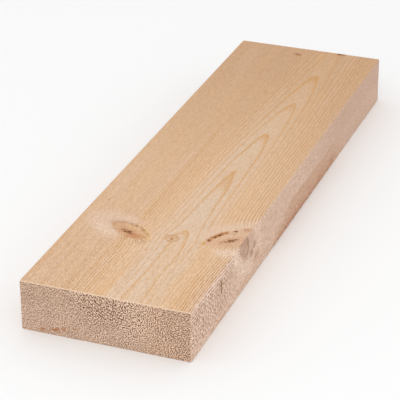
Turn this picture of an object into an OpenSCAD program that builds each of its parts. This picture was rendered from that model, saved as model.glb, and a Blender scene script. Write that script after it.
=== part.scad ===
// A short length of planed softwood plank, sawn from the log as one piece.
//
// The plank lies flat. The origin is the middle of its bottom face, +Y runs
// along its length, +Z goes up through its thickness and +X across its width.
// Each long edge was eased when the plank was planed. The ends are sawn square
// and their edges are left sharp.

/* [Section] */
// Width of the plank across its face
plank_width = 145; // [70:5:295]
// Thickness of the plank
plank_thickness = 45; // [22:1:75]
// Radius of the four eased long edges
edge_radius = 1; // [0.5:0.5:5]

/* [Length] */
// Length of the plank between its sawn ends
plank_length = 525; // [300:25:6000]

/* [Hidden] */

// Facets round a whole eased edge, so that a quarter turn has a fourth of them
edge_facets = 48;
// How far the middle of an eased edge lies in from each side of the section
edge_inset_x = plank_width / 2 - edge_radius;
edge_inset_z = plank_thickness / 2 - edge_radius;

// The planed section, about its own middle: a rectangle whose four corners
// are quarter circles.
module planed_section() {
    square([plank_width, 2 * edge_inset_z], center = true);
    square([2 * edge_inset_x, plank_thickness], center = true);
    for (side_x = [-1, 1], side_z = [-1, 1])
        translate([side_x * edge_inset_x, side_z * edge_inset_z])
            circle(r = edge_radius, $fn = edge_facets);
}

// The plank: the planed section, run along Y from one sawn end to the other
// and set down on its bottom face.
module plank() {
    color("burlywood")
        translate([0, 0, plank_thickness / 2])
            rotate([90, 0, 0])
                linear_extrude(height = plank_length, center = true)
                    planed_section();
}

plank();
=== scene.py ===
# %% [markdown]
# # A short length of planed softwood plank
#
# This lesson makes one plank, as a timber yard sells it. The log was sawn so that its
# heart, the pith, lies just above the plank's top face. Every line on the plank's faces is
# a cut through the same thing: growth rings that run round the pith, pushed aside where
# branches grew out of it. So the lesson describes the tree once, as sums worked out by
# nodes, and both the plank's colours and its fine relief ask those same sums.

# %% Load the frame
import math

import bmesh
import bpy
from mathutils import Matrix, Vector


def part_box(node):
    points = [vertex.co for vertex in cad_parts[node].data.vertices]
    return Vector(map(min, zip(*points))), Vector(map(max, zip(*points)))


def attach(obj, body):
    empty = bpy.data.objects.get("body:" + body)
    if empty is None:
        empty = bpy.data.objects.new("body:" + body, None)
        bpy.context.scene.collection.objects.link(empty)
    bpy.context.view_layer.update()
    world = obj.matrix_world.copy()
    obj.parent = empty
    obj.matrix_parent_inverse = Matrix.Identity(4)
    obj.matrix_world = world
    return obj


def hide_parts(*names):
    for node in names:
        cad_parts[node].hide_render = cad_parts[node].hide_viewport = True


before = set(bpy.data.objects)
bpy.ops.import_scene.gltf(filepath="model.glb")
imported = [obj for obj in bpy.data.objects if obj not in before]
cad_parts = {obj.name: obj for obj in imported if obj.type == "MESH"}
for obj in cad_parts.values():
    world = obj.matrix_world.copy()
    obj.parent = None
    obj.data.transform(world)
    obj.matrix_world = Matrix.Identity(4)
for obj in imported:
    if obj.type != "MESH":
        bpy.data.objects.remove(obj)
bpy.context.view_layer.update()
plank_low, plank_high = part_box("plank")
plank_size = plank_high - plank_low
MM = 0.001
WIDTH, LENGTH, THICKNESS = (side / MM for side in plank_size)
print(f"the plank is {WIDTH:.0f} x {LENGTH:.0f} x {THICKNESS:.0f} mm")

# %% [markdown]
# ## The camera
#
# The plank is seen from above its near right corner with a long lens, so that its sides
# stay almost parallel. A camera looks along its own -Z, so it is first tipped up from
# looking straight down, then turned about the vertical. The small roll comes first of all,
# about the camera's own line of sight.

# %% Camera
CAMERA_PLACE = Vector((0.5050, -1.3706, 0.7606))
CAMERA_TURN = math.radians(20.973)
CAMERA_DIP = math.radians(27.479)
CAMERA_ROLL = math.radians(-0.313)
CAMERA_LENS = 163.68         # mm
SENSOR_WIDTH = 36.0          # mm

camera_data = bpy.data.cameras.new("camera")
camera_data.lens = CAMERA_LENS
camera_data.sensor_width = SENSOR_WIDTH
camera = bpy.data.objects.new("camera", camera_data)
bpy.context.scene.collection.objects.link(camera)
camera.matrix_world = (
    Matrix.Translation(CAMERA_PLACE)
    @ Matrix.Rotation(CAMERA_TURN, 4, "Z")
    @ Matrix.Rotation(math.pi / 2 - CAMERA_DIP, 4, "X")
    @ Matrix.Rotation(CAMERA_ROLL, 4, "Z")
)
bpy.context.scene.camera = camera
print("camera is", round(CAMERA_PLACE.length, 2), "m from the middle of the plank's base")

# %% [markdown]
# ## Sums made by nodes
#
# A material and a Geometry Nodes tree are both built of nodes, and the Math node is the
# same in each. An `Amount` is one number that nodes work out at every point of the timber.
# Adding or multiplying two of them adds the Math node that does it, so the tree can be
# described in plain sums, and the same sums serve for colour and for relief.

# %% Amounts
class Amount:
    """A number that nodes work out at every point of the timber."""

    def __init__(self, tree, socket):
        self.tree = tree
        self.socket = socket

    def __add__(self, other):
        return work_out(self.tree, "ADD", self, other)

    def __radd__(self, other):
        return work_out(self.tree, "ADD", other, self)

    def __sub__(self, other):
        return work_out(self.tree, "SUBTRACT", self, other)

    def __rsub__(self, other):
        return work_out(self.tree, "SUBTRACT", other, self)

    def __mul__(self, other):
        return work_out(self.tree, "MULTIPLY", self, other)

    def __rmul__(self, other):
        return work_out(self.tree, "MULTIPLY", other, self)

    def __truediv__(self, other):
        return work_out(self.tree, "DIVIDE", self, other)


def plug_in(tree, value, socket):
    """Links an Amount to a socket, or types a plain number into it."""
    if isinstance(value, Amount):
        tree.links.new(value.socket, socket)
    else:
        socket.default_value = value


def work_out(tree, sum_name, *values):
    """One Math node."""
    node = tree.nodes.new("ShaderNodeMath")
    node.operation = sum_name
    for value, socket in zip(values, node.inputs):
        plug_in(tree, value, socket)
    return Amount(tree, node.outputs[0])


print("an Amount can be added to, taken from, multiplied and divided")

# %% [markdown]
# The shape of every mark comes from a few sums: the larger or smaller of two amounts, a
# distance, a smooth slope and a hump. They are also asked with plain numbers later on, to
# find which faces need to be finer, so each works on both.

# %% Sums
def larger(amount, other):
    """The larger of two."""
    if not isinstance(amount, Amount):
        return max(amount, other)
    return work_out(amount.tree, "MAXIMUM", amount, other)


def smaller(amount, other):
    """The smaller of two."""
    if not isinstance(amount, Amount):
        return min(amount, other)
    return work_out(amount.tree, "MINIMUM", amount, other)


def length_of(*sides):
    """The straight distance that has these amounts as its sides."""
    if not isinstance(sides[0], Amount):
        return math.hypot(*sides)
    squares = [side * side for side in sides]
    return work_out(sides[0].tree, "SQRT", sum(squares[1:], squares[0]))


def slope(amount, start, end):
    """Rises smoothly from 0 to 1 as the amount goes from start to end, either way round."""
    if start > end:
        return 1 - slope(amount, end, start)
    if not isinstance(amount, Amount):
        share = min(max((amount - start) / (end - start), 0.0), 1.0)
        return share * share * (3 - 2 * share)
    node = amount.tree.nodes.new("ShaderNodeMapRange")
    node.interpolation_type = "SMOOTHSTEP"
    node.clamp = False       # a smooth step never leaves 0 to 1, and Cycles saves a node
    for value, name in ((amount, "Value"), (start, "From Min"), (end, "From Max")):
        plug_in(amount.tree, value, node.inputs[name])
    return Amount(amount.tree, node.outputs["Result"])


def hump(amount, middle, reach):
    """1 where the amount is at the middle, fading smoothly to 0 a reach away."""
    return slope(length_of(amount - middle), reach, 0.0)


print("a smooth slope from 0 to 10 has reached", slope(3.0, 0.0, 10.0), "at 3")

# %% [markdown]
# Nothing that grew is even, so most sums are disturbed by clouds: the Noise Texture node,
# stretched so that its lumps have a size in mm along each direction. Each cloud has its own
# seed, so that no two are alike and every run gives the same plank.

# %% Places and clouds
def joined(across, along, up):
    """Three amounts as one vector socket."""
    node = across.tree.nodes.new("ShaderNodeCombineXYZ")
    for value, socket in zip((across, along, up), node.inputs):
        plug_in(across.tree, value, socket)
    return node.outputs[0]


class Place(list):
    """Across, along and up in mm. It also keeps the position socket that they came from."""

    def __init__(self, tree, position):
        self.position = position
        split = tree.nodes.new("ShaderNodeSeparateXYZ")
        tree.links.new(position, split.inputs[0])
        for socket, low in zip(split.outputs, plank_low):
            self.append((Amount(tree, socket) - low) / MM)


def stretched(place, size, seed):
    """The place divided by a size and moved by a seed, in a single Mapping node."""
    tree = place[0].tree
    node = tree.nodes.new("ShaderNodeMapping")
    tree.links.new(place.position, node.inputs["Vector"])
    scales = [1 / (lump * MM) for lump in size]
    node.inputs["Scale"].default_value = scales
    node.inputs["Location"].default_value = [
        seed - low * scale for low, scale in zip(plank_low, scales)
    ]
    return node.outputs[0]


def cloud(place, size, seed=0.0, detail=2.0, roughness=0.5):
    """Smooth random lumps of a size in mm along each direction, from about 0 to 1."""
    tree = place[0].tree
    node = tree.nodes.new("ShaderNodeTexNoise")
    node.inputs["Scale"].default_value = 1.0
    node.inputs["Detail"].default_value = detail
    node.inputs["Roughness"].default_value = roughness
    if isinstance(place, Place) and tree.type == "SHADER":
        vector = stretched(place, size, seed)
    else:
        vector = joined(*[side / lump + seed for side, lump in zip(place, size)])
    tree.links.new(vector, node.inputs["Vector"])
    return Amount(tree, node.outputs[0])


def draw_lot(amount, seed=0.0):
    """A random number from 0 to 1 for each whole number."""
    whole = work_out(amount.tree, "FLOOR", amount) + seed
    node = amount.tree.nodes.new("ShaderNodeTexWhiteNoise")
    node.noise_dimensions = "1D"
    amount.tree.links.new(whole.socket, node.inputs["W"])
    return Amount(amount.tree, node.outputs["Value"])


print(f"places in the timber run from 0 to {WIDTH:.0f}, {LENGTH:.0f} and {THICKNESS:.0f} mm")

# %% [markdown]
# ## The tree
#
# All distances here are in millimetres: across from the left edge, along from the near
# end, and up from the bottom face. The pith runs just above the top face and climbs away
# from it towards the far end, so each ring breaks the surface as a tall arch whose tip
# points to the top of the tree. Near the pith the tree grew fast and its rings are wide.
# Further out they get finer.
#
# A branch starts at the pith as a thin twig and thickens as the tree does, so inside the
# log a knot is a slim cone. Its rings of wood swell where the branch pushes through them,
# which on a flat face shows as lines that flow round the knot. The grain could also be
# drawn on each face as a pattern of its own, but then the lines wouldn't meet at the edges.

# %% The pith, the rings and the branches
PITH_ACROSS = 94.4           # the pith's distance from the left edge at the near end
PITH_DRIFT = 4.2             # how far it has wandered to the right by the far end
PITH_ABOVE = 21.8            # its height over the top face at the near end
PITH_CLIMB = 0.0254          # how fast it climbs
PITH_SAG = 1.6               # and how far it sags towards the plank halfway
KINK_AT = 80.0               # where the pith kinks, at the foot of the branches
KINK_REACH = 44.0
KINK_DOWN = 0.85             # how far it kinks down
KINK_RIGHT = 1.2             # and to the right
WIDE_RING = 2.4              # ring width near the pith
SLOWED_AT = 46.0             # distance from the pith where growth slows
SLOWEST_AT = 75.0            # and where it is slowest
SLOWING = 0.0083             # extra rings per square mm as it slows
SWAY = 5.0                   # how far the rings sway slowly in and out, in mm
RIPPLE = 0.7                 # and how far they ripple

# Each branch: where it leaves the pith along the plank, the point on the top face that its
# middle passes, how fast its radius grows, the radius at which it died, how far and how
# strongly it pushes the rings aside, and how far its heart lies off its middle line, towards
# the treetop and level.
BRANCHES = {
    "round": {"leaves": 83.8, "passes": (53.0, 104.3), "spread": 0.186, "died": 9.9,
              "reach": 8.0, "push": 2.0, "heart": (-2.1, -1.95)},
    "spike": {"leaves": 79.0, "passes": (134.0, 117.0), "spread": 0.245, "died": 14.3,
              "reach": 8.0, "push": 2.5, "heart": (0.0, 0.0)},
    "twig": {"leaves": 93.0, "passes": (88.0, 104.2), "spread": 0.195, "died": 6.5,
             "reach": 6.0, "push": 1.9, "heart": (0.0, 0.0)},
    "upper twig": {"leaves": 506.0, "passes": (105.5, 525.0), "spread": 0.11, "died": 5.0,
                   "reach": 4.0, "push": 4.0, "heart": (0.0, 0.0)},
    "pin": {"leaves": 492.0, "passes": (64.5, 508.0), "spread": 0.07, "died": 3.2,
            "reach": 2.0, "push": 0.4, "heart": (0.0, 0.0)},
}


def pith_across(along):
    """Distance of the pith from the left edge."""
    kink = hump(along, KINK_AT, KINK_REACH) * KINK_RIGHT
    return slope(along, 200.0, 450.0) * PITH_DRIFT + kink + PITH_ACROSS


def pith_up(along):
    """Height of the pith above the bottom face."""
    sag = hump(along, LENGTH / 2, LENGTH / 2) * PITH_SAG
    kink = hump(along, KINK_AT, KINK_REACH) * KINK_DOWN
    return along * PITH_CLIMB - sag - kink + (THICKNESS + PITH_ABOVE)


def branch_lines(branch):
    """Where a branch starts, the way it grows, and the way across it to the tree's top."""
    leaves = branch["leaves"]
    start = Vector((pith_across(leaves), leaves, pith_up(leaves)))
    aim = (Vector((*branch["passes"], THICKNESS)) - start).normalized()
    treetop = Vector((0, 1, 0))
    return start, aim, (treetop - aim * aim.y).normalized()


for name, branch in BRANCHES.items():
    aim = branch_lines(branch)[1]
    print(f"{name} grows {tuple(round(part, 2) for part in aim)}")

# %% [markdown]
# The log below answers one question: at this point of the timber, what is there? It gives
# the ring's number and, for each branch, how far out along it the point is, how far from
# its middle line and its heart, how deep inside its wood, and how far on its treetop side.

# %% The log
def share_of(offset, direction):
    """How much of an offset lies along a direction."""
    return sum(side * part for side, part in zip(offset[1:], direction[1:])) + (
        offset[0] * direction[0])


def inside_branch(place, branch):
    """Where a point lies in a branch, in mm. It works on plain numbers too."""
    start, aim, upward = branch_lines(branch)
    offset = [side - begin for side, begin in zip(place, start)]
    out = share_of(offset, aim)
    away = length_of(*[side - out * part for side, part in zip(offset, aim)])
    radius = smaller(out * branch["spread"], branch["died"])
    treetop_side = share_of(offset, upward)
    level_side = share_of(offset, aim.cross(upward))
    heart_up, heart_level = branch["heart"]
    return {"out": out, "away": away, "depth": radius - away,
            "treetop_side": treetop_side, "level_side": level_side,
            "from_heart": length_of(treetop_side - heart_up, level_side - heart_level)}


def read_log(place):
    """What the tree grew at each point of the timber."""
    across, along, up = place
    from_pith = length_of(across - pith_across(along), up - pith_up(along))
    sway = (cloud(place, (45, 170, 45), seed=1.0, detail=1.0) - 0.5) * SWAY
    ripple = (cloud(place, (9, 30, 9), seed=2.0, detail=2.0) - 0.5) * RIPPLE
    radius = from_pith + sway * slope(from_pith, 28.0, 50.0) + ripple
    slowed = smaller(larger(radius - SLOWED_AT, 0.0), SLOWEST_AT - SLOWED_AT)
    finest = larger(radius - SLOWEST_AT, 0.0) * (2 * SLOWING * (SLOWEST_AT - SLOWED_AT))
    rings = radius / WIDE_RING + slowed * slowed * SLOWING + finest
    branches = {}
    for name, branch in BRANCHES.items():
        inside = inside_branch(place, branch)
        pushed = work_out(
            across.tree, "EXPONENT", smaller(inside["depth"], 0.0) / branch["reach"])
        rings = rings - pushed * branch["push"] * slope(inside["out"], 10.0, 70.0)
        branches[name] = inside
    return {"rings": rings, "from_pith": from_pith, "branches": branches}


RING_LOT = 639.0             # picks which years grew a strong dark line


def latewood(log):
    """Dark wood at the end of each year: it builds up and stops at once for the winter."""
    rings = log["rings"]
    year = work_out(rings.tree, "FRACT", rings)
    slow_years = slope(log["from_pith"], 30.0, 48.0)
    in_wide, in_fine = slope(year, 0.66, 0.94), slope(year, 0.56, 0.76)
    built_up = in_wide + (in_fine - in_wide) * slow_years
    strength = draw_lot(rings, RING_LOT) * 0.55 + 0.45
    return built_up * slope(year, 1.0, 0.965) * strength


def beaded(place):
    """Breaks lines into beads 3 mm long, most of all near the near end."""
    across, along = place[:2]
    beads = slope(cloud(place, (1.6, 2.6, 1.6), seed=8.0, detail=1.0), 0.42, 0.54)
    on_edge = slope(length_of(across - WIDTH / 2), WIDTH / 2 - 0.8, WIDTH / 2 - 0.2)
    share = slope(along, 200.0, 40.0) * 0.45 + on_edge * 0.2 + 0.25
    return 1 - (1 - beads) * share


print("the log can be asked about any point of the plank")

# %% [markdown]
# ## The plank's shape
#
# A block is added at the plank's size and place. Before it is shaped it is scored all the
# way round, close to its edges and on both sides of the knots, so that each zone can be
# divided as finely as its detail needs: finely across the grain, where rings are narrow,
# and coarsely along it, except at the knots. Dividing the whole block alike would spend as
# many faces on plain wood as on a knot.

# %% Block and score lines
EDGE_ZONE = 1.5              # the strip beside each edge that its easing may take up
END_ZONE = 0.8
KNOTS_FROM, KNOTS_TO = 88.0, 148.0

bpy.ops.object.select_all(action="DESELECT")
bpy.ops.mesh.primitive_cube_add(size=1.0, location=(plank_low + plank_high) / 2)
plank = bpy.context.object
plank.name = "softwood_plank"
plank.scale = plank_size
bpy.ops.object.transform_apply(location=True, rotation=True, scale=True)

ACROSS, ALONG, UP = Vector((1, 0, 0)), Vector((0, 1, 0)), Vector((0, 0, 1))
score_lines = [
    (ACROSS, (EDGE_ZONE, WIDTH - EDGE_ZONE)),
    (ALONG, (END_ZONE, KNOTS_FROM, KNOTS_TO, LENGTH - END_ZONE)),
    (UP, (EDGE_ZONE, THICKNESS - EDGE_ZONE)),
]
bpy.ops.object.mode_set(mode="EDIT")
for direction, distances in score_lines:
    for distance in distances:
        bpy.ops.mesh.select_all(action="SELECT")
        bpy.ops.mesh.bisect(
            plane_co=plank_low + direction * distance * MM, plane_no=direction
        )
bpy.ops.object.mode_set(mode="OBJECT")
print("scored block has", len(plank.data.polygons), "faces")

# %% [markdown]
# Subdividing only the edges that run one way divides a zone that way alone. Subdivide makes
# at most a hundred cuts at once, so a longer zone is first divided into a few equal parts.

# %% Divide the zones
FACE_ACROSS, FACE_UP = 0.82, 1.1          # how wide the faces are, in mm
FACE_NEAR, FACE_AT_KNOTS, FACE_FAR = 4.5, 0.9, 5.0        # and how long
MOST_CUTS = 100


def select_edges(piece, wanted):
    """In edit mode, selects just the edges whose two ends pass the test."""
    bpy.ops.mesh.select_mode(type="EDGE")
    bpy.ops.mesh.select_all(action="DESELECT")
    mesh = bmesh.from_edit_mesh(piece.data)
    for edge in mesh.edges:
        if wanted(*(corner.co for corner in edge.verts)):
            edge.select_set(True)
    bmesh.update_edit_mesh(piece.data)


def divide_zone(piece, direction, start, end, spacing):
    """Divides the edges that run along a direction between two distances."""
    parts = round((end - start) / spacing)
    low = plank_low.dot(direction) + start * MM
    high = plank_low.dot(direction) + end * MM

    def in_zone(first, second):
        step = first - second
        runs_along = abs(step.dot(direction)) > 0.999 * step.length
        middle = (first + second).dot(direction) / 2
        return runs_along and low < middle < high

    first_parts = math.ceil(parts / MOST_CUTS)
    for pieces in (first_parts, round(parts / first_parts)):
        if pieces > 1:
            select_edges(piece, in_zone)
            bpy.ops.mesh.subdivide(number_cuts=pieces - 1)


bpy.ops.object.mode_set(mode="EDIT")
divide_zone(plank, ACROSS, EDGE_ZONE, WIDTH - EDGE_ZONE, FACE_ACROSS)
divide_zone(plank, UP, EDGE_ZONE, THICKNESS - EDGE_ZONE, FACE_UP)
divide_zone(plank, ALONG, END_ZONE, KNOTS_FROM, FACE_NEAR)
divide_zone(plank, ALONG, KNOTS_FROM, KNOTS_TO, FACE_AT_KNOTS)
divide_zone(plank, ALONG, KNOTS_TO, LENGTH - END_ZONE, FACE_FAR)
bpy.ops.object.mode_set(mode="OBJECT")
print("divided block has", len(plank.data.polygons), "faces")

# %% [markdown]
# The planer eased the long edges, so that they don't splinter in the hand. Bevel rounds the
# four edges at once, in three steps each. The sawn ends stay sharp.

# %% Ease the long edges
EDGE_RADIUS = 1.0
EASING_STEPS = 3
TOUCHING = 1e-6              # metres


def on_long_edge(first, second):
    """True for an edge on one of the block's four long corners."""
    return all(
        min(abs(point[axis] - plank_low[axis]), abs(point[axis] - plank_high[axis])) < TOUCHING
        for point in (first, second)
        for axis in (0, 2)
    ) and abs(first.y - second.y) > TOUCHING


bpy.ops.object.mode_set(mode="EDIT")
select_edges(plank, on_long_edge)
bpy.ops.mesh.bevel(offset=EDGE_RADIUS * MM, segments=EASING_STEPS, profile=0.5)
bpy.ops.object.mode_set(mode="OBJECT")
print("eased block has", len(plank.data.polygons), "faces")

# %% [markdown]
# ## Finer faces at the knots
#
# Checks, caught bark and resin pockets are a millimetre wide, narrower than the faces made
# so far. Faces on a knot's rim or near its heart are picked by asking the branch sums with
# plain numbers, and only those are divided again.

# %% Finer faces
RIM_FACES = 1.3              # how near the rim a face has to be, in mm
HEART_FACES = 3.2            # and how near the heart
POCKET_ALONG, POCKET_UP = 68.0, 31.0      # middle of the small resin pocket
POCKET_LONG, POCKET_HIGH = 2.4, 8.0       # its half sizes
POCKET_ZONE_LONG, POCKET_ZONE_HIGH = 3.0, 10.0      # and those of the finer faces round it
SKIN = 1.0                   # a face this near the top or the right edge is part of it


def in_timber(point):
    """Across, along and up in mm of a point in the frame."""
    return tuple((point - plank_low) / MM)


def needs_finer_faces(place):
    """True near the heart of a knot, along caught bark or at the resin pocket."""
    across, along, up = place
    if up < THICKNESS - SKIN and across < WIDTH - SKIN:
        return False
    spike = inside_branch(place, BRANCHES["spike"])
    if abs(spike["depth"]) < RIM_FACES and spike["treetop_side"] > 0:
        return True
    if any(inside_branch(place, BRANCHES[name])["from_heart"] < HEART_FACES
           for name in ("spike", "round")):
        return True
    from_pocket = math.hypot((along - POCKET_ALONG) / POCKET_ZONE_LONG,
                             (up - POCKET_UP) / POCKET_ZONE_HIGH)
    return across > WIDTH - SKIN and from_pocket < 1.0


bpy.ops.object.mode_set(mode="EDIT")
bpy.ops.mesh.select_mode(type="FACE")
bpy.ops.mesh.select_all(action="DESELECT")
mesh = bmesh.from_edit_mesh(plank.data)
for face in mesh.faces:
    if needs_finer_faces(in_timber(face.calc_center_median())):
        face.select_set(True)
bmesh.update_edit_mesh(plank.data)
bpy.ops.mesh.subdivide(number_cuts=1)
bpy.ops.object.mode_set(mode="OBJECT")
print("block with finer knots has", len(plank.data.polygons), "faces")

# %% [markdown]
# ## What is dark, cracked or sticky
#
# These marks both colour the wood and dent it, so each is one short sum that the finishes
# and the relief share. Each runs from 0, none of it here, to 1. The bark comes first: the
# long knot died before the tree did, and the tree grew round the bark that was left on it.

# %% Patches, knots and caught bark
def broken(place, size, seed, share=0.5, edge=0.08):
    """Random patches of a size in mm that cover about a share of the wood."""
    return slope(cloud(place, size, seed, detail=1.0), 0.5 - (share - 0.5) * 0.5 - edge,
                 0.5 - (share - 0.5) * 0.5 + edge)


def in_knots(log, soft=0.5):
    """1 inside any of the knots."""
    insides = [slope(each["depth"], -soft, soft) for each in log["branches"].values()]
    inside = insides[0]
    for other in insides[1:]:
        inside = larger(inside, other)
    return inside


# Each crumb of bark: how far out along the long knot, its half length, how much is left
BARK_CRUMBS = [(44.6, 2.6, 0.4), (51.0, 2.4, 0.5), (55.6, 2.6, 0.8), (59.4, 1.8, 0.35),
               (69.4, 2.4, 0.5), (76.2, 2.0, 0.15)]


def caught_bark(log, place):
    """Bark caught along the treetop side of the long knot, broken into crumbs."""
    spike = log["branches"]["spike"]
    wander = (cloud(place, (2.0, 2.0, 2.0), 35.0) - 0.5) * 2.0
    rim = slope(length_of(spike["depth"] + wander - 0.4), 1.9, 0.7)
    left = [hump(spike["out"] + wander, out, reach) * much for out, reach, much in BARK_CRUMBS]
    return smaller(rim * sum(left[1:], left[0]) * 1.5, 1.0) * slope(
        spike["treetop_side"], 1.0, 5.0)


def bark_seam(log, place):
    """The thin brown seam that carries on from the caught bark round the knot."""
    spike = log["branches"]["spike"]
    wander = (cloud(place, (3.0, 3.0, 3.0), 35.0) - 0.5) * 2.0
    rim = hump(spike["depth"] + wander, 0.2, 3.8)
    upper = slope(spike["treetop_side"], -2.0, 3.0)
    patchy = broken(place, (2.0, 2.0, 2.0), 33.0, share=0.6) * 0.7 + 0.3
    strong = slope(spike["out"], 42.0, 46.0) * slope(spike["out"], 66.0, 60.0) * 1.45
    strong = strong + hump(spike["out"], 78.0, 4.0) * 0.5
    return smaller(rim * upper * patchy * (strong + 0.22), 1.0)


print(f"{len(BARK_CRUMBS)} crumbs of bark, from {BARK_CRUMBS[0][0]:.0f} to "
      f"{BARK_CRUMBS[-1][0]:.0f} mm out along the long knot")

# %% [markdown]
# The rest are small: the checks in the hearts of the knots, a pocket where resin gathered
# between two rings and dried, a fleck of bark, and the lip of torn fibres that the saw left
# along the edges of the ends. On the ends that lip is painted pale, partly for the torn
# fibres and partly as a painted highlight where the edge catches the light.

# %% Checks, resin and torn fibres
def heart_check(log, place, name, size, seed):
    """The dark checked middle of a knot."""
    uneven = (cloud(place, (3, 3, 3), seed) - 0.5) * size * 1.8
    return slope(log["branches"][name]["from_heart"] + uneven, size, size * 0.25)


def resin_pocket(place):
    """A little upright pocket of dried resin on the right edge."""
    across, along, up = place
    wander = (cloud((up, up, up), (5, 5, 5), 43.0) - 0.5) * 1.5
    from_middle = length_of((along - POCKET_ALONG + wander) / POCKET_LONG,
                            (up - POCKET_UP) / POCKET_HIGH)
    on_edge = slope(across, WIDTH - 4.0, WIDTH - 1.0)
    crumbs = broken(place, (3, 3, 2.2), 41.0, share=0.55)
    return slope(from_middle, 1.2, 0.5) * on_edge * (crumbs * 0.6 + 0.4)


def fleck(place, middle, size):
    """One tiny dark bark fleck, longer along the grain."""
    parts = [(side - centre) / half for side, centre, half in zip(place, middle, size)]
    return slope(length_of(*parts), 1.0, 0.3)


def torn_edge(place):
    """The fuzzy lip of torn fibres along the top and right of both sawn ends, and its painted
    highlight.
    """
    across, along, up = place
    to_end = smaller(along, LENGTH - along)
    to_side = smaller(WIDTH - across + 0.8, THICKNESS - up)
    return slope(length_of(to_end, to_side), 1.8, 0.7)


print(f"the resin pocket is {2 * POCKET_HIGH:.0f} mm high and {POCKET_ALONG:.0f} mm from "
      "the near end")

# %% [markdown]
# ## Fine relief
#
# Planing leaves the hard dark wood a hair proud of the soft pale wood, and a knot a little
# prouder still, because it is the hardest. The middle of a knot checks as it dries, and
# the bark caught along the top of the long knot has crumbled out and left a groove. The
# ends are rough from the saw. A Geometry Nodes modifier reads the log and sinks each point
# by its own depth, so nothing ever stands outside the planed size.

# %% Relief
ALL_SINK = 0.03              # every depth is in mm
SOFT_WOOD_SINK = 0.06
FIBRE_SINK = 0.03
KNOT_RISE = 0.02
BARK_GROOVE = 0.6
HEART_CHECK = 0.6
POCKET_DENT = 0.8
SAWN_SINK = 0.28
TORN_SINK = 0.3


def relief_depth(place):
    """How far each point of the surface is sunk, in mm."""
    along = place[1]
    log = read_log(place)
    knots = in_knots(log)
    soft = (1 - latewood(log) * beaded(place)) * (1 - knots)
    fibres = cloud(place, (0.9, 14.0, 0.9), seed=12.0)
    to_end = smaller(along, LENGTH - along)
    sawn = cloud(place, (1.7, 4.0, 1.7), seed=14.0, detail=3.0) * slope(to_end, 0.4, 0.0)
    groove = larger(caught_bark(log, place) * BARK_GROOVE, resin_pocket(place) * POCKET_DENT)
    checks = larger(heart_check(log, place, "spike", 2.6, 21.0),
                    heart_check(log, place, "round", 2.6, 23.0)) * HEART_CHECK
    return (soft * SOFT_WOOD_SINK + fibres * FIBRE_SINK + (1 - knots) * KNOT_RISE + groove
            + checks + sawn * SAWN_SINK + torn_edge(place) * TORN_SINK + ALL_SINK)


def sink_surface(piece):
    """Adds the relief as a Geometry Nodes modifier and applies it."""
    tree = bpy.data.node_groups.new("fine relief", "GeometryNodeTree")
    tree.interface.new_socket("Geometry", in_out="INPUT", socket_type="NodeSocketGeometry")
    tree.interface.new_socket("Geometry", in_out="OUTPUT", socket_type="NodeSocketGeometry")
    incoming = tree.nodes.new("NodeGroupInput")
    outgoing = tree.nodes.new("NodeGroupOutput")
    position = tree.nodes.new("GeometryNodeInputPosition")
    normal = tree.nodes.new("GeometryNodeInputNormal")
    mover = tree.nodes.new("GeometryNodeSetPosition")
    scale = tree.nodes.new("ShaderNodeVectorMath")
    scale.operation = "SCALE"
    depth = relief_depth(Place(tree, position.outputs[0])) * -MM
    tree.links.new(normal.outputs[0], scale.inputs[0])
    tree.links.new(depth.socket, scale.inputs["Scale"])
    tree.links.new(scale.outputs[0], mover.inputs["Offset"])
    tree.links.new(incoming.outputs[0], mover.inputs["Geometry"])
    tree.links.new(mover.outputs[0], outgoing.inputs[0])
    modifier = piece.modifiers.new("fine relief", "NODES")
    modifier.node_group = tree
    bpy.context.view_layer.objects.active = piece
    bpy.ops.object.modifier_apply(modifier=modifier.name)
    print("the relief took", len(tree.nodes), "nodes")


sink_surface(plank)

# %% [markdown]
# ## Painting with sums
#
# A finish starts from the colour of plain wood and lays each mark over it in turn. Colours
# are typed as a picture shows them, and turned into light before a material uses them.

# %% Painting tools
def colour(red, green, blue):
    """A colour as a picture shows it, from 0 to 255, as light for a material."""
    def light(value):
        value /= 255
        return value / 12.92 if value <= 0.04045 else ((value + 0.055) / 1.055) ** 2.4
    return (light(red), light(green), light(blue), 1.0)


def colour_plug(plugs, name):
    """The colour plug of a Mix node, which has plugs of other kinds by the same name."""
    return [plug for plug in plugs if plug.name == name and plug.type == "RGBA"][0]


def lay_over(amount, paint, mark, way="MIX"):
    """Lays a colour over the paint so far, as strongly as the amount says."""
    tree = amount.tree
    node = tree.nodes.new("ShaderNodeMix")
    node.data_type = "RGBA"
    node.blend_type = way
    plug_in(tree, amount, node.inputs["Factor"])
    for value, name in ((paint, "A"), (mark, "B")):
        if isinstance(value, tuple):
            colour_plug(node.inputs, name).default_value = value
        else:
            tree.links.new(value, colour_plug(node.inputs, name))
    return colour_plug(node.outputs, "Result")


def lay_between(share, first, second):
    """Goes from the first amount to the second as the share goes from 0 to 1."""
    return first + (second - first) * share


WARMTH = (0.7, 1.0, 1.4)     # darker wood loses most blue and least red


def warmed(paint, amount):
    """Lightens the paint where the amount is above 0, darkens and warms it below."""
    tree = amount.tree
    share = tree.nodes.new("ShaderNodeVectorMath")
    share.operation = "SCALE"
    share.inputs[0].default_value = WARMTH
    tree.links.new(amount.socket, share.inputs["Scale"])
    change = tree.nodes.new("ShaderNodeVectorMath")
    change.operation = "MULTIPLY_ADD"
    tree.links.new(paint, change.inputs[0])
    tree.links.new(share.outputs[0], change.inputs[1])
    tree.links.new(paint, change.inputs[2])
    return change.outputs[0]


def new_finish(name):
    """An empty material, its shader, and the place in the timber that it paints."""
    material = bpy.data.materials.new(name)
    material.use_nodes = True
    tree = material.node_tree
    shader = tree.nodes["Principled BSDF"]
    coordinates = tree.nodes.new("ShaderNodeTexCoord")
    return material, shader, Place(tree, coordinates.outputs["Object"])


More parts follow.
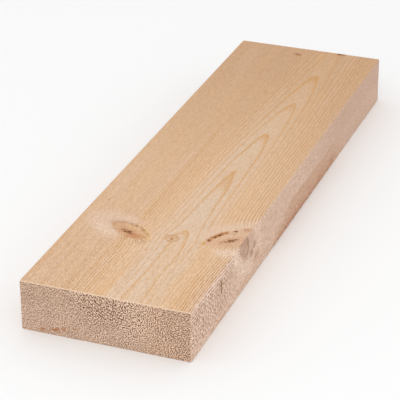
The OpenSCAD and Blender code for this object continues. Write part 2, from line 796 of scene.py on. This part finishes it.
def roughen(shader, height, strength, distance):
    """Bump too fine for the mesh, from a height between 0 and 1 and its size in mm."""
    tree = height.tree
    bump = tree.nodes.new("ShaderNodeBump")
    bump.inputs["Strength"].default_value = strength
    bump.inputs["Distance"].default_value = distance * MM
    tree.links.new(height.socket, bump.inputs["Height"])
    tree.links.new(bump.outputs[0], shader.inputs["Normal"])


print("a mid grey gives back", round(colour(128, 128, 128)[0], 2), "of the light")

# %% [markdown]
# ## Planed timber
#
# Fresh softwood is cream near the pith and tan outside it. All of it is painted darker
# towards the far end: painted shade, for the light that falls off along the plank. The two
# narrow edges are a little pinker, and damp has stained the lower part of the right one.
# Dark lines are latewood, more orange than brown where the plane cuts them at a shallow
# angle.

# %% Colours of planed timber
TAN_WOOD = colour(225, 189, 154)
# The far end's colour is the same wood with painted shade: less light reaches it.
SHADED_FAR_WOOD = colour(206, 168, 133)
CREAM_WOOD = colour(221, 194, 168)
ORANGE_WOOD = colour(221, 178, 134)
PINK_WOOD = colour(222, 190, 164)
AMBER_WOOD = colour(214, 168, 116)
LATE_ORANGE = colour(208, 152, 82)
LATE_BROWN = colour(142, 78, 24)
# Painted shade for the dents, which are not modelled.
DENT_SHADE = colour(116, 70, 36)
EDGE_WOOD = colour(227, 198, 179)
# Painted shade: the edges' colour at the far end.
EDGE_SHADED_FAR = colour(203, 173, 155)
STAIN = colour(182, 128, 88)
STAIN_SPOT = colour(140, 88, 58)
KNOT_WOOD = colour(221, 179, 137)
KNOT_RING = colour(172, 114, 68)
KNOT_PINK = colour(222, 184, 154)
KNOT_EDGE_WOOD = colour(206, 174, 152)
HALO_WOOD = colour(227, 198, 176)
GLINT = colour(246, 224, 202)
HEART_WOOD = colour(112, 58, 8)
HEART_GLOW = colour(190, 124, 76)
HEART_PURPLE = colour(174, 132, 110)
BARK = colour(116, 60, 4)
SEAM = colour(178, 108, 34)
RESIN = colour(239, 196, 128)
DRIED_RESIN = colour(214, 162, 92)
POCKET = colour(70, 36, 4)
# Dark marks on knot rims, and painted shade on the round knot's upper rim.
RIM_MARK_AND_SHADE = colour(134, 98, 76)

print("plain timber gives back", [round(part, 2) for part in TAN_WOOD[:3]], "at the near end",
      "and", [round(part, 2) for part in SHADED_FAR_WOOD[:3]], "at the far end")

# %% [markdown]
# Plain timber is laid up from broad to fine: first the painted shade that darkens it from
# the near end to the far end and the slow change away from the pith, then soft streaks,
# then the latewood lines. The planer's feed roller has left rows of small dents at the
# near end of the narrow edges. They are smaller than the faces there, so they are not
# modelled: their dark dots are painted shade.

# %% Plain timber
ROWS_APART = 3.3             # mm from one row of dents to the next
ROWS_STOP = 108.0            # and from the near end to the last dent


def tooth_marks(place):
    """Rows of small dents near the near end, from the planer's toothed feed roller."""
    along, up = place[1:]
    row = up / ROWS_APART + (cloud(place, (20, 30, 20), seed=9.0) - 0.5) * 0.4
    step = along / 5.4 + draw_lot(row, 3.0) + (cloud(place, (9, 9, 9), seed=10.0) - 0.5)
    in_row = hump(work_out(row.tree, "FRACT", row), 0.5, 0.36)
    tooth = hump(work_out(row.tree, "FRACT", step), 0.5, 0.3)
    where = slope(along, ROWS_STOP, 70.0) * slope(up, 5.0, 12.0) * slope(up, 41.0, 38.5)
    return in_row * tooth * where * (broken(place, (7, 7, 7), 11.0, share=0.6) * 0.6 + 0.8)


def plain_timber(log, place):
    """Colour of the wood with no knots or marks, and painted far-end shade: (paint, latewood).
    """
    across, along, up = place
    near = slope(along, 150.0, 10.0)
    # Painted shade: the wood darkens from the near end to the far end, as the light falls off.
    paint = lay_over(slope(along, 120.0, 560.0), TAN_WOOD, SHADED_FAR_WOOD)
    paint = lay_over(slope(log["from_pith"], 36.0, 26.0) * 0.8, paint, CREAM_WOOD)
    drift = cloud(place, (24, 200, 24), seed=5.0)
    paint = lay_over(slope(drift, 0.44, 0.7) * (near * 0.6 + 0.3), paint, ORANGE_WOOD)
    paint = lay_over(slope(drift, 0.5, 0.3) * 0.35, paint, PINK_WOOD)
    amber = hump(across + (drift - 0.5) * 4, 51.5, 3.5) * slope(along, 400.0, 300.0)
    paint = lay_over(amber * slope(along, 50.0, 80.0) * 0.5, paint, AMBER_WOOD)
    streaks = cloud(place, (4.5, 90, 4.5), seed=6.0)
    paint = lay_over(slope(streaks, 0.5, 0.68) * (near * 0.3 + 0.35), paint, ORANGE_WOOD)
    on_edge = slope(length_of(across - WIDTH / 2), WIDTH / 2 - 0.8, WIDTH / 2 - 0.2)
    # Painted shade on the edges too, darker towards the far end and more so higher up.
    far_shade = slope(along, 60.0, 200.0) * 0.4 + slope(along, 230.0, 450.0) * 0.6
    far_shade = far_shade * (slope(up, 16.0, 30.0) * 0.4 + 0.7)
    shaded_edge_wood = lay_over(far_shade, EDGE_WOOD, EDGE_SHADED_FAR)
    paint = lay_over(on_edge * 0.9, paint, shaded_edge_wood)
    late = latewood(log) * beaded(place)
    slow_years = slope(log["from_pith"], 32.0, 56.0)
    late_colour = lay_over(slow_years * (near * 0.45 + 0.45), LATE_ORANGE, LATE_BROWN)
    in_wide = slope(along, 60.0, 480.0) * 0.2 + 0.72
    in_fine = slope(along, 230.0, 120.0) * 0.52 - slope(along, 300.0, 500.0) * 0.08 + 0.66
    bold = lay_between(slow_years, in_wide, in_fine)
    bold = bold * (slow_years * slope(across, 110.0, 70.0) * -0.28 + 1)
    paint = lay_over(smaller(late * bold, 1.0), paint, late_colour)
    # Painted shade: dark dots where the feed roller's dents are, too small for the mesh to show.
    paint = lay_over(smaller(tooth_marks(place) * on_edge, 1.0), paint, DENT_SHADE)
    # The last step darkens and warms everything towards the far end, less on the edges: more
    # painted shade.
    return warmed(paint, slope(along, 40.0, 560.0) * (on_edge * 0.05 - 0.085)), late


print(f"the rows of dents are {ROWS_APART} mm apart, over {ROWS_STOP:.0f} mm of the edges")

# %% [markdown]
# Damp has crept into the lower part of the right edge and dried there. The stain's border
# is ragged, because water runs further along some fibres than along others. It is strongest
# at the bottom, where it breaks up into darker spots.

# %% Damp stain
STAIN_HIGH = 23.5            # how high up the edge the stain reaches, in mm


def stain_edge(paint, place):
    """Damp stain along the bottom of the right edge."""
    across, along, up = place
    lumps = (cloud(place, (30, 24, 12), seed=51.0) - 0.5) * 14
    ragged = lumps + (cloud(place, (4, 5, 4), seed=52.0) - 0.5) * 5
    right = slope(across, WIDTH - 6.0, WIDTH - 1.0)
    reach = slope(along - up * 1.8 + ragged, 178.0, 212.0) * slope(along + lumps, 420.0, 330.0)
    stain = slope(up + ragged * 0.5, STAIN_HIGH, STAIN_HIGH - 3.0) * right * reach
    paint = lay_over(stain * 0.42, paint, STAIN)
    low = slope(up + ragged, 11.0, 1.0) * right * reach
    paint = lay_over(low * 0.6, paint, STAIN)
    spots = low * broken(place, (8, 8, 4), 53.0, share=0.3)
    return lay_over(spots * 0.7, paint, STAIN_SPOT)


print(f"the stain reaches {STAIN_HIGH / THICKNESS:.0%} of the way up the edge")

# %% [markdown]
# ## Knots
#
# A knot is a branch cut across. It is painted from the outside in: a pale halo where the
# grain swirls round it, dark spokes at its rim where torn fibres and resin catch the light,
# its own harder and darker wood with fine rings, and its checked heart. The spokes are a
# cloud asked with the direction from the knot's middle, so they run out from it like rays.

# %% Tools for painting knots
def spokes(knot, seed, fine=0.16, long=6.0):
    """Random streaks that run out from the middle of a knot."""
    turn = (knot["treetop_side"] / knot["away"], knot["level_side"] / knot["away"])
    return cloud((*turn, knot["away"]), (fine, fine, long), seed, detail=1.0)


def cloud_at(knot, seed, size=5.0):
    """Unevenness round a knot, from about -0.5 to 0.5."""
    return cloud((knot["out"], knot["treetop_side"], knot["level_side"]),
                 (size, size, size), seed, detail=3.0, roughness=0.6) - 0.5


def paint_halo(paint, knot, seed, strength, outer_side, middle=-5.0, reach=11.0):
    """Pale wood where the grain swirls round a knot, most on the side away from the pith."""
    uneven = cloud_at(knot, seed)
    pale = hump(knot["depth"] + uneven * 9, middle, reach)
    pale = pale * slope(knot["out"], *outer_side) * strength
    glints = slope(cloud_at(knot, seed + 0.5, size=1.3), 0.04, 0.12)
    glints = glints * slope(knot["treetop_side"], -3.0, -8.0)
    paint = lay_over(pale, paint, HALO_WOOD)
    return lay_over(smaller(pale * glints * 2, 1.0), paint, GLINT)


def paint_body(paint, knot, seed, wood, strength, soft_below):
    """The knot's own wood, with streaks and fine rings."""
    depth = knot["depth"] + cloud_at(knot, seed) * 4.0
    below = slope(knot["treetop_side"], 1.0, -4.0)
    inside = lay_between(below, slope(depth, -0.4, 0.8), slope(depth, -0.4, soft_below))
    paint = lay_over(inside * strength, paint, wood)
    year = work_out(depth.tree, "FRACT", depth / 1.3)
    paint = lay_over(inside * slope(year, 0.3, 0.9) * strength * 0.2, paint, KNOT_RING)
    streaks = slope(spokes(knot, seed + 4.0, fine=0.3), 0.48, 0.62)
    return lay_over(inside * streaks * strength * 0.35, paint, KNOT_RING)


def paint_rim(paint, knot, seed, mark, middle, reach, where, fine=0.16, thin=0.0):
    """Dark spokes across the rim."""
    depth = knot["depth"] + cloud_at(knot, seed) * 4.0
    teeth = slope(spokes(knot, seed + 1.0, fine), 0.48 + thin, 0.56 + thin)
    return lay_over(hump(depth, middle, reach) * teeth * where, paint, mark)


def paint_heart(paint, log, place, name, size, seed, dark=0.9):
    """The dark, checked middle of a knot in its warm glow."""
    knot = log["branches"][name]
    glow = slope(knot["from_heart"] + cloud_at(knot, seed) * 5.0, size * 2.0, size * 0.4)
    paint = lay_over(glow * dark * 0.45, paint, HEART_GLOW)
    check = heart_check(log, place, name, size, seed)
    crumbs = broken(place, (1.5, 1.5, 1.5), seed + 2.0, share=0.65)
    return lay_over(smaller(check * crumbs * 1.4, 1.0) * dark, paint, HEART_WOOD)


def paint_resin(paint, knot, seed, start, end):
    """Yellow drops of resin on part of a knot's rim."""
    here = slope(knot["out"], end + 3, end - 2) * slope(knot["out"], start - 3, start)
    drops = slope(cloud_at(knot, seed, size=1.8), -0.12, 0.06)
    rim = hump(knot["depth"], -1.0, 3.0) * slope(knot["treetop_side"], -6.0, 0.0)
    return lay_over(rim * drops * here * 0.6, paint, RESIN)


KNOT_TOOLS = (paint_halo, paint_rim, paint_body, paint_resin, paint_heart)
print("a knot is painted by", ", ".join(tool.__name__ for tool in KNOT_TOOLS))

# %% [markdown]
# ## The round knot
#
# It is light, reddish on its lower side, and its heart lies off its middle. The plane tore
# short dark spokes out of the wood below it, and a few dark dots and drops of resin sit on
# its upper rim. A faint painted shade lies along the outer end of that rim.

# %% The round knot
def paint_round_knot(paint, log, place):
    """The knot on the left of the top face."""
    knot = log["branches"]["round"]
    paint = paint_halo(paint, knot, 22.0, 0.55, (50.0, 66.0))
    below = slope(knot["treetop_side"], 3.0, -3.0)
    inner = slope(knot["out"], 70.0, 58.0)
    inner_end = slope(knot["out"], 52.0, 44.0)
    torn = below * inner_end * 0.5
    paint = paint_rim(paint, knot, 23.0, HEART_WOOD, -2.5, 6.0, torn, fine=0.1, thin=0.05)
    # Painted shade: a faint grey band along the outer end of the upper rim.
    shade = hump(knot["depth"] + cloud_at(knot, 31.0) * 5.0, -0.6, 2.2) * (1 - below)
    paint = lay_over(shade * slope(knot["out"], 56.0, 64.0) * 0.25, paint, RIM_MARK_AND_SHADE)
    paint = paint_body(paint, knot, 23.0, KNOT_WOOD, 0.8, 1.8)
    paint = paint_rim(paint, knot, 23.0, HEART_WOOD, -0.3, 1.8, (1 - below) * inner * 0.7)
    outline = hump(knot["depth"] + cloud_at(knot, 31.0) * 4.0, 0.6, 1.6)
    paint = lay_over(outline * 0.25, paint, KNOT_RING)
    paint = paint_resin(paint, knot, 24.0, 36.0, 49.0)
    warm = slope(knot["depth"] + cloud_at(knot, 30.0) * 8.0, -1.0, 3.0) * below
    warm = warm * slope(knot["out"], 57.0, 46.0)
    paint = lay_over(warm * 0.75, paint, HEART_GLOW)
    return paint_heart(paint, log, place, "round", 3.3, 23.0)


off_middle = math.hypot(*BRANCHES["round"]["heart"])
print(f"the round knot's heart is {off_middle:.1f} mm off its middle line")

# %% [markdown]
# ## The long knot
#
# The plane cut this branch almost along its length, so timber workers call such a knot a
# spike. It lies across the top face, with a drop of dried resin at its thin end, and runs
# out through the right edge.

# %% The long knot
DROP_ACROSS, DROP_ALONG = 114.9, 106.3    # middle of the drop of resin


def paint_spike(paint, log, place, on_edge):
    """The long knot on the top face, and its plain wood on the right edge."""
    across, along = place[:2]
    knot = log["branches"]["spike"]
    paint = paint_halo(paint, knot, 20.0, 0.6, (34.0, 46.0), -6.0, 12.0)
    wood = lay_over(on_edge, KNOT_PINK, KNOT_EDGE_WOOD)
    paint = paint_body(paint, knot, 21.0, wood, 0.6, 7.0)
    from_drop = length_of((across - DROP_ACROSS) / 2.6, (along - DROP_ALONG) / 4.6)
    sap = hump(from_drop, 0.0, 1.0)
    paint = lay_over(sap * (1 - on_edge) * 1.2, paint, DRIED_RESIN)
    return paint_heart(paint, log, place, "spike", 3.2, 21.0, dark=(1 - on_edge) * 0.8)


spike_spread = math.degrees(math.atan(BRANCHES["spike"]["spread"]))
print(f"the long knot opens {spike_spread:.0f} degrees to each side of its middle line")

# %% [markdown]
# On the right edge the long knot is a soft disc: a purple brown bruise on its near side, a
# crescent round its middle and a broken dark rim. Resin has run out below it and left a
# sticky tan patch. These sums use the distance along the edge and up it.

# %% The long knot's section
SECTION_ALONG, SECTION_UP = 126.0, 36.0   # middle of the disc
STICKY_ALONG, STICKY_UP = 151.0, 16.0     # and of the sticky patch
RIM_SPOTS = (((147.0, 29.0), 3.6), ((139.5, 23.8), 5.0))     # places and half lengths


def paint_spike_section(paint, log, place, on_edge):
    """The disc that the long knot shows on the right edge."""
    along, up = place[1:]
    knot = log["branches"]["spike"]
    swirl = cloud_at(knot, 28.0)
    bruise = slope(along + swirl * 20.0, 136.0, 126.0) * slope(knot["depth"], -0.5, 2.5)
    bruise = bruise * (slope(up, 22.0, 32.0) * 0.6 + 0.4)
    paint = lay_over(bruise * on_edge * (swirl * 1.4 + 0.55), paint, HEART_PURPLE)
    from_middle = length_of((along - SECTION_ALONG) / 5.5, (up - SECTION_UP) / 7.0)
    from_middle = from_middle + swirl * 0.6
    crescent = hump(from_middle, 1.0, 0.4)
    crescent = crescent * slope(along, SECTION_ALONG - 2.0, SECTION_ALONG + 4.0)
    paint = lay_over(crescent * on_edge * 0.5, paint, RIM_MARK_AND_SHADE)
    paint = lay_over(slope(from_middle, 0.9, 0.2) * on_edge * 0.1, paint, KNOT_PINK)
    for (rim_along, rim_up), half in RIM_SPOTS:
        from_spot = length_of((along - rim_along) / half + swirl, (up - rim_up) / 3.4)
        paint = lay_over(slope(from_spot, 1.3, 0.2) * on_edge * 0.6, paint, RIM_MARK_AND_SHADE)
    from_sticky = length_of((along - STICKY_ALONG) / 12.0 + swirl, (up - STICKY_UP) / 10.0)
    return lay_over(slope(from_sticky, 1.0, 0.0) * on_edge * 0.5, paint, KNOT_RING)


print(len(RIM_SPOTS), "dark spots on the section's rim")

# %% [markdown]
# ## The three small knots
#
# A twig shows between the two large knots, amber with a wrinkled middle. The upper twig and
# the pin died young, near the far end, and are little more than dark dots.

# %% The small knots
def paint_small_knots(paint, log, place):
    """The twig, the upper twig and the pin."""
    branches = log["branches"]
    knot = branches["twig"]
    paint = paint_body(paint, knot, 25.0, AMBER_WOOD, 0.6, 1.0)
    rim = hump(knot["depth"] + cloud_at(knot, 34.0) * 3.0, 0.2, 1.3)
    paint = lay_over(rim * 0.35, paint, KNOT_RING)
    wrinkles = slope(cloud_at(knot, 36.0, size=1.6), 0.0, 0.1)
    paint = lay_over(slope(knot["depth"], 0.5, 2.0) * wrinkles * 0.6, paint, CREAM_WOOD)
    paint = paint_heart(paint, log, place, "twig", 1.8, 25.0, dark=0.45)
    paint = paint_body(paint, branches["upper twig"], 27.0, KNOT_RING, 0.6, 1.0)
    paint = paint_heart(paint, log, place, "upper twig", 4.5, 27.0, dark=1.0)
    paint = paint_body(paint, branches["pin"], 29.0, KNOT_RING, 0.4, 1.0)
    return paint_heart(paint, log, place, "pin", 2.4, 29.0, dark=0.6)


for name, branch in BRANCHES.items():
    print(f"{name} knot is {2 * branch['died']:.0f} mm thick where it is thickest")

# %% [markdown]
# ## The planed finish
#
# Everything so far is laid over one another: plain timber, stain, knots, bark and resin.
# Last come the fibres and pores, which are too fine for the mesh. They darken the colour a
# little and also feed a bump, so the planed face catches the light unevenly.

# %% Planed timber with its knots and marks
FLECK_MIDDLE = (12.0, 151.0, THICKNESS)   # the one bark fleck on the top face
FLECK_SIZE = (0.8, 3.2, 1.5)              # half sizes
ROUGHNESS = 0.66                          # of the soft wood
LATE_SHINE = 0.14                         # how much smoother the planer leaves latewood


def planed_timber():
    """The finish of the four planed faces."""
    material, shader, place = new_finish("planed timber")
    log = read_log(place)
    paint, late = plain_timber(log, place)
    paint = stain_edge(paint, place)
    on_edge = slope(place[0], WIDTH - 1.2, WIDTH - 0.3)
    paint = paint_round_knot(paint, log, place)
    paint = paint_spike(paint, log, place, on_edge)
    paint = paint_spike_section(paint, log, place, on_edge)
    paint = paint_small_knots(paint, log, place)
    on_top = slope(place[2], THICKNESS - 3.0, THICKNESS - 0.5)
    paint = lay_over(bark_seam(log, place) * (on_top * 0.6 + 0.25), paint, SEAM)
    paint = lay_over(slope(caught_bark(log, place), 0.0, 0.8), paint, BARK)
    paint = lay_over(resin_pocket(place), paint, POCKET)
    paint = lay_over(fleck(place, FLECK_MIDDLE, FLECK_SIZE) * 0.4, paint, BARK)
    fibres = cloud(place, (0.5, 8.0, 0.5), seed=61.0, detail=2.0)
    mottle = cloud(place, (0.6, 1.0, 0.6), seed=63.0, detail=1.0)
    coarse = slope(place[1], 150.0, 10.0) * 0.4 + 1.15
    on_right = slope(place[0], WIDTH - 0.8, WIDTH - 0.2)
    coarse = coarse * (on_right * slope(place[1], 520.0, 100.0) + 1)
    paint = warmed(paint, ((fibres - 0.5) * 0.5 + (mottle - 0.5) * 0.7) * coarse)
    pores = slope(cloud(place, (0.55, 3.2, 0.55), seed=65.0, detail=0.0), 0.68, 0.8)
    paint = lay_over(pores * 0.35, paint, KNOT_RING)
    shader.inputs["Base Color"].default_value = TAN_WOOD      # shown where nodes aren't read
    shader.id_data.links.new(paint, shader.inputs["Base Color"])
    rough = ROUGHNESS - late * LATE_SHINE + (fibres - 0.5) * 0.1
    plug_in(rough.tree, rough, shader.inputs["Roughness"])
    shader.inputs["Specular IOR Level"].default_value = 0.3
    roughen(shader, fibres + late * 0.4, 0.35, 0.12)
    return material


planed = planed_timber()
print(planed.name, "took", len(planed.node_tree.nodes), "nodes")

# %% [markdown]
# ## Sawn end grain
#
# The ends are cut across the fibres, so they soak up light: darker and browner than the
# faces, and speckled with crushed and torn fibres. The speckle's contrast is partly the
# fibres' own colour and partly painted shade and painted highlight of the rough cut. The
# rings show only in patches, where the saw left them clean. On the left the speckle is a
# cloud asked with the ring and the way round the pith, so it follows the rings. On the
# browner right it is even all over.

# %% Sawn end grain
END_WOOD = colour(206, 170, 147)
END_BROWN = colour(180, 136, 102)
# Dark and pale of the speckle, partly painted shade and highlight; the dark also marks latewood.
END_DARK = colour(84, 40, 14)
END_PALE = colour(248, 217, 190)
END_RESIN = colour(172, 106, 42)
# Partly torn fibres, partly a painted highlight along the ends' top and right edges.
LIP_FIBRES_AND_HIGHLIGHT = colour(250, 220, 190)
CLEAN_ACROSS, CLEAN_UP = 70.0, 30.0       # middle of the patch that was cut clean
RESIN_CLIMB = 0.19                        # slope of the line of resin dots at the bottom


def sawn_end():
    """The finish of the two sawn ends."""
    material, shader, place = new_finish("sawn end grain")
    across, along, up = place
    log = read_log(place)
    sideways = work_out(across.tree, "ARCTAN2", across - pith_across(along), pith_up(along) - up)
    round_pith = (log["rings"] * 1.7, sideways * log["from_pith"], along)
    brown = slope(across + (cloud(place, (20, 20, 20), 71.0) - 0.5) * 40, 96.0, 128.0)
    paint = lay_over(brown * 0.9, END_WOOD, END_BROWN)
    rays = cloud(round_pith, (0.7, 0.88, 5.0), seed=75.0, detail=0.0)
    grain = cloud(place, (0.82, 5.0, 0.82), seed=76.0, detail=0.0)
    speckle = lay_between(brown, rays, grain)
    paint = warmed(paint, slope(up, 8.0, 38.0) * -0.18)
    coarse = slope(across, 20.0, 130.0) * 0.45 + 0.9
    # The dark and pale speckle: partly fibre colour, partly painted shade and painted highlight.
    paint = lay_over(slope(speckle, 0.46, 0.37) * coarse, paint, END_DARK)
    paint = lay_over(slope(speckle, 0.5, 0.58) * coarse, paint, END_PALE)
    from_clean = length_of((across - CLEAN_ACROSS) / 26.0, (up - CLEAN_UP) / 20.0)
    clean_cut = slope(from_clean, 1.2, 0.4)
    patches = slope(cloud(place, (13, 13, 13), seed=73.0), 0.46, 0.62)
    late = slope(latewood(log), 0.1, 0.6) * broken(place, (2.6, 5, 2.6), 74.0, share=0.6)
    paint = lay_over(late * larger(clean_cut * 0.8, patches * 0.4 + 0.1), paint, END_DARK)
    resin_line = hump(up - across * RESIN_CLIMB + (grain - 0.5) * 6, -0.3, 3.4)
    resin_line = resin_line * slope(across, 12.0, 20.0) * slope(across, 52.0, 44.0)
    paint = lay_over(resin_line * broken(place, (4, 20, 3), 77.0) * 0.9, paint, END_RESIN)
    # The pale lip: torn fibres and a painted highlight where the edge catches the light.
    paint = lay_over(torn_edge(place) * 0.95, paint, LIP_FIBRES_AND_HIGHLIGHT)
    shader.id_data.links.new(paint, shader.inputs["Base Color"])
    shader.inputs["Roughness"].default_value = 0.9
    roughen(shader, speckle, 0.8, 0.6)
    return material


sawn = sawn_end()
print(sawn.name, "took", len(sawn.node_tree.nodes), "nodes")

# %% [markdown]
# ## Give the plank its finishes
#
# A face that looks along the plank belongs to a sawn end, and every other face was planed.
# Smooth shading rounds the eased edges and leaves the sawn corners sharp. Then the plank
# takes its place in the frame, where it stands in for the plain block of the same name.

# %% Finishes and frame
plank.data.materials.append(planed)
plank.data.materials.append(sawn)
END_FACE = 0.7               # a face turned this far towards an end is part of it
SMOOTH_UP_TO = math.radians(30)
for face in plank.data.polygons:
    face.material_index = 1 if abs(face.normal.y) > END_FACE else 0
bpy.ops.object.select_all(action="DESELECT")
plank.select_set(True)
bpy.context.view_layer.objects.active = plank
bpy.ops.object.shade_smooth_by_angle(angle=SMOOTH_UP_TO)
print("plank has", sum(len(face.vertices) - 2 for face in plank.data.polygons), "triangles")

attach(plank, "root")
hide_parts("plank")

# %% [markdown]
# ## Floor and light
#
# A pale floor in a bright, even studio. The white world lights everything softly from all
# sides, and one weak, wide lamp in front of the plank and above it makes the near end a
# little brighter than the far end.

# %% Floor
FLOOR_SIZE = 40.0            # metres, so that no edge of it is seen
FLOOR_WHITE = (0.96, 0.96, 0.96, 1.0)
bpy.ops.object.select_all(action="DESELECT")
bpy.ops.mesh.primitive_plane_add(size=FLOOR_SIZE, location=(0.0, 0.0, plank_low.z))
floor = bpy.context.object
floor.name = "floor"
floor_paint = bpy.data.materials.new("pale floor")
floor_paint.use_nodes = True
floor_shader = floor_paint.node_tree.nodes["Principled BSDF"]
floor_shader.inputs["Base Color"].default_value = FLOOR_WHITE
floor_shader.inputs["Roughness"].default_value = 0.9
floor.data.materials.append(floor_paint)
print("floor is", round(floor.dimensions.x), "m wide")

# %% [markdown]
# An area lamp shines along its own -Z, so it is turned until that points at the plank. It
# is hidden from the camera, so that only its light is seen. The Standard view keeps the
# colours just as they were typed.

# %% Light
STUDIO_LIGHT = 0.95
LAMP_PLACE = Vector((0.2, -1.2, 1.3))
LAMP_SIZE = 0.9
LAMP_WATTS = 3.0
world = bpy.data.worlds.new("studio")
world.use_nodes = True
world.node_tree.nodes["Background"].inputs["Color"].default_value = (1.0, 1.0, 1.0, 1.0)
world.node_tree.nodes["Background"].inputs["Strength"].default_value = STUDIO_LIGHT
bpy.context.scene.world = world

lamp_data = bpy.data.lights.new("front lamp", "AREA")
lamp_data.size = LAMP_SIZE
lamp_data.energy = LAMP_WATTS
lamp = bpy.data.objects.new("front lamp", lamp_data)
bpy.context.scene.collection.objects.link(lamp)
lamp.location = LAMP_PLACE
lamp.rotation_euler = (-LAMP_PLACE).to_track_quat("-Z", "Y").to_euler()
lamp.visible_camera = False
bpy.context.scene.view_settings.view_transform = "Standard"
print("lamp is", round(LAMP_PLACE.length, 2), "m from the plank")
